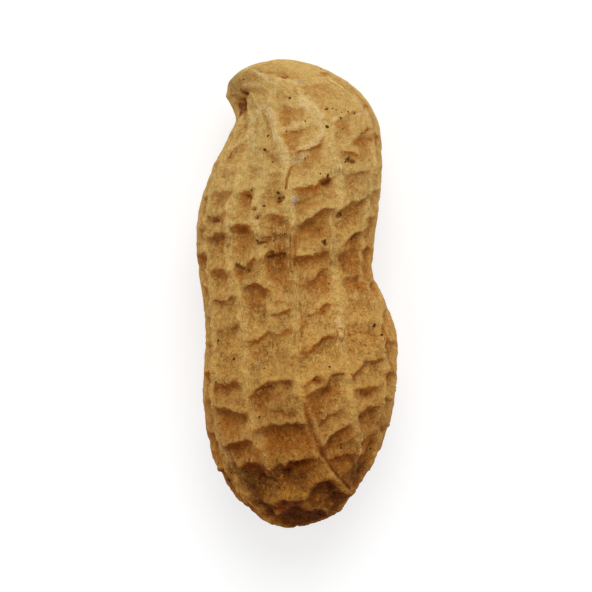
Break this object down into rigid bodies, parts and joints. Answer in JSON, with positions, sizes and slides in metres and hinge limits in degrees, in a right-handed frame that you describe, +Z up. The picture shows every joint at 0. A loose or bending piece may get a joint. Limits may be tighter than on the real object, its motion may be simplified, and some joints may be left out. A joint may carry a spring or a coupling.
{
  "type": "peanut in its shell",
  "caption": "Whole peanut pod in its closed shell, two-lobed, with a beaked end and a raised net of ribs, lying on its side.",
  "frame": {"origin": "on the surface that the pod lies on, under the middle of its box", "axes": "+Y along the pod from the stalk end to the beaked end, +X to the right as seen from above, +Z up"},
  "size_m": [0.018, 0.042, 0.0156],
  "materials": {
    "shell": "dry fibrous shell, matte, straw brown with paler ribs, darker cells and soil-brown towards the stalk end"
  },
  "bodies": {
    "root": {"peanut_pod": "shell"}
  },
  "joints": []
}
